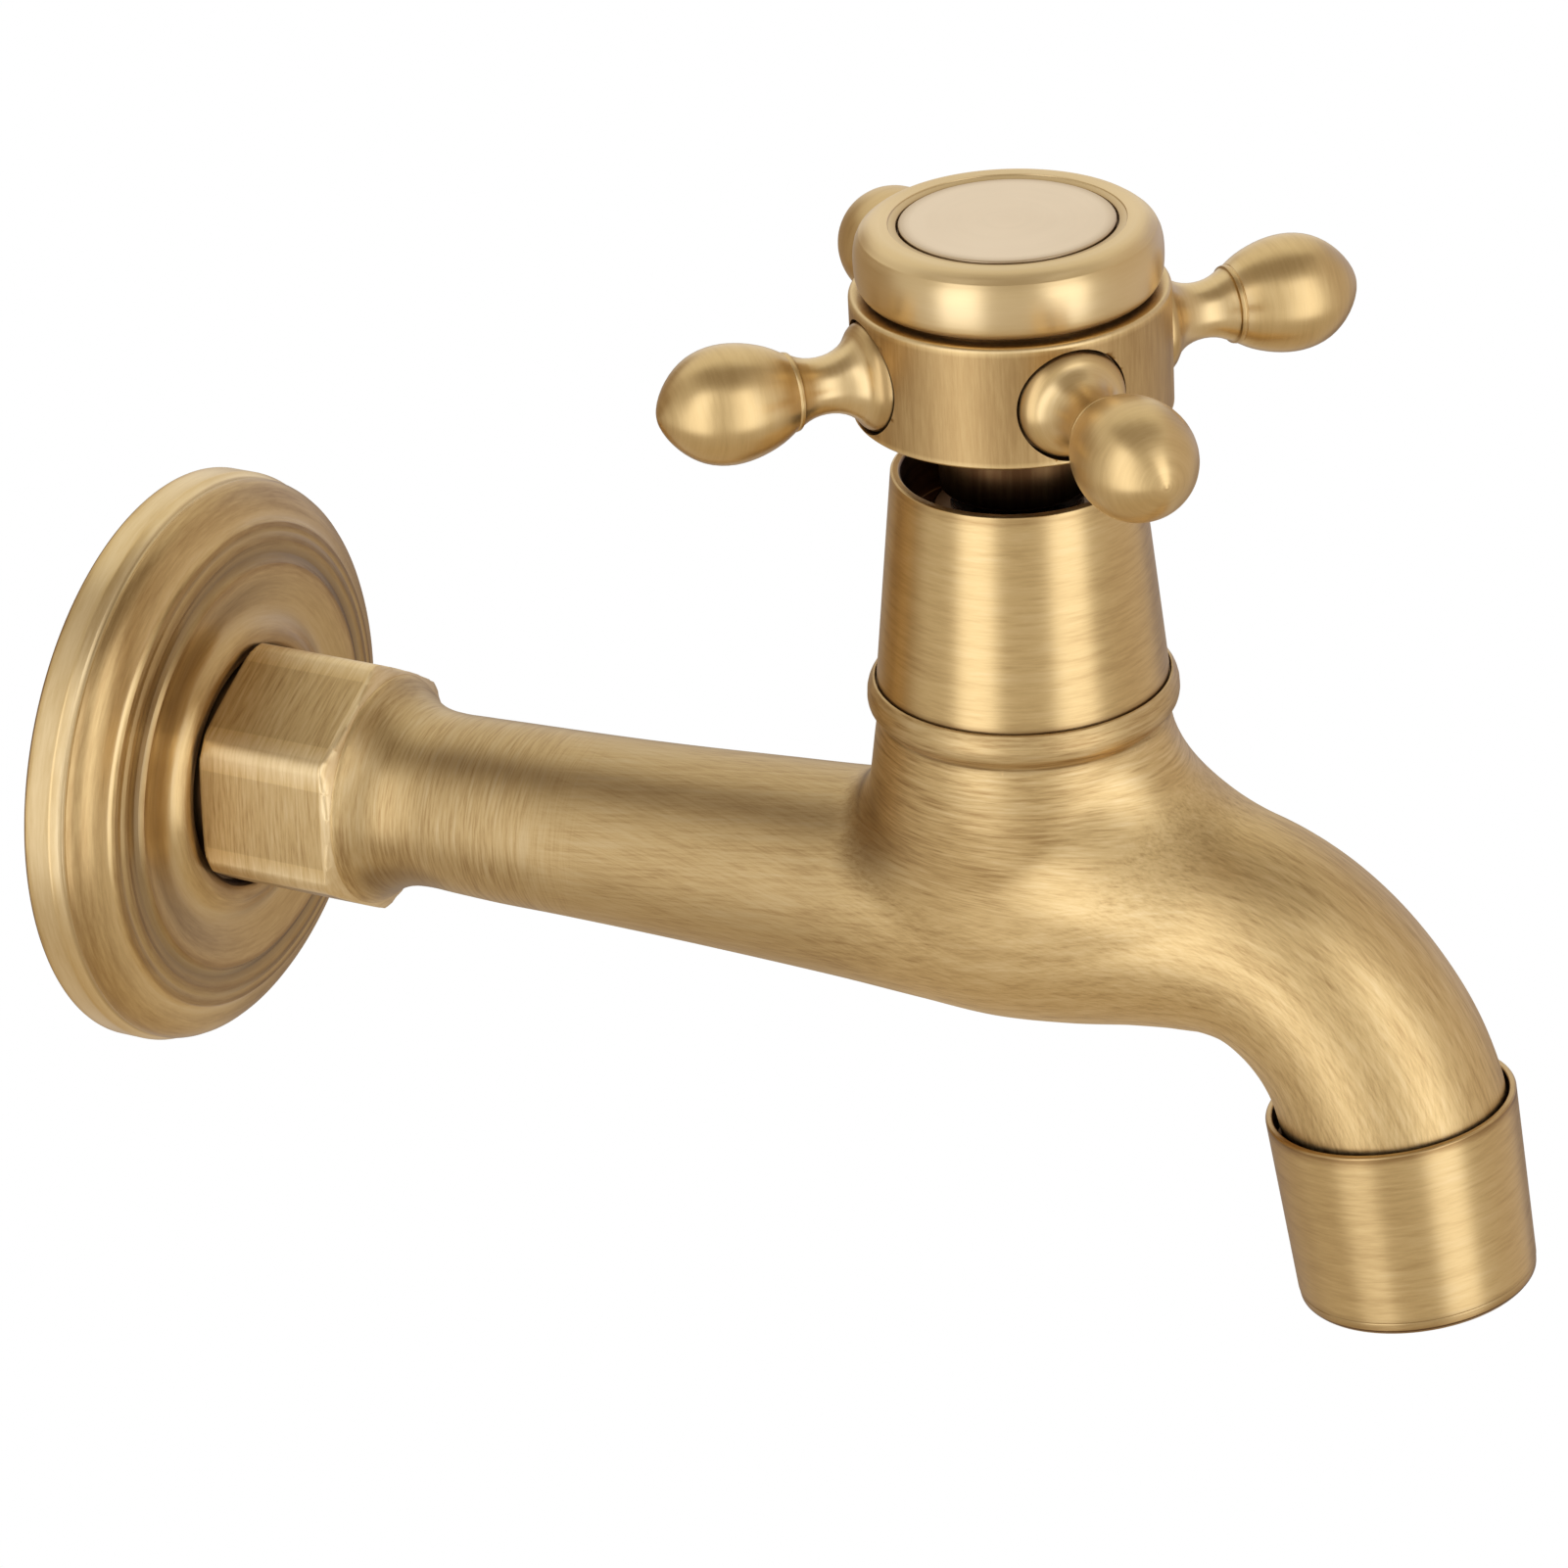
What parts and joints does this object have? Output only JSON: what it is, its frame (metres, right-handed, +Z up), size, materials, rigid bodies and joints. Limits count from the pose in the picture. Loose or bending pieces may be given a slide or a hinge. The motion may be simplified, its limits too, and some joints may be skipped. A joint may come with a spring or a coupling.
{
  "type": "wall-mounted kitchen tap",
  "caption": "Long-arm wall tap with a threaded inlet, a round wall flange, a quarter-turn cross handle and a down-turned spout with an aerator.",
  "frame": {"origin": "centre of the inlet thread on the wall plane, which is the back face of the wall flange", "axes": "+X out of the wall along the inlet and the arm, +Z up along the valve axis, +Y to the left of someone who looks at the wall"},
  "size_m": [0.1619, 0.06, 0.1071],
  "materials": {
    "antique_brass": "brushed antique",
    "satin_brass": "satin antique",
    "turned_brass": "turned, dark where it shows",
    "steel": "plain",
    "rubber": "matte",
    "ceramic": "lapped",
    "plastic": "matte"
  },
  "bodies": {
    "tap_body": {"body": "antique_brass", "wall_flange": "antique_brass", "flange_gasket": "rubber", "bonnet_shroud": "antique_brass", "cartridge_body": "turned_brass", "cartridge_o_ring": "rubber", "seat_seal": "rubber", "fixed_disc": "ceramic", "nozzle_sleeve": "antique_brass", "aerator_washer": "rubber", "aerator_housing": "plastic", "aerator_screen": "steel", "flow_straightener": "plastic"},
    "handle": {"handle_hub": "antique_brass", "handle_cap": "antique_brass", "index_button": "satin_brass", "handle_arm_1": "antique_brass", "handle_arm_2": "antique_brass", "handle_arm_3": "antique_brass", "handle_arm_4": "antique_brass", "handle_screw": "steel", "screw_washer": "steel", "spindle": "turned_brass", "spindle_o_rings": "rubber", "spindle_clip": "steel", "thrust_washer": "plastic", "moving_disc": "ceramic"}
  },
  "joints": [
    {"name": "handle_turn", "type": "hinge", "parent": "tap_body", "child": "handle", "pos_m": [0.0979, 0, 0.035], "axis": [0, 0, 1], "range_deg": [0, 90]}
  ]
}
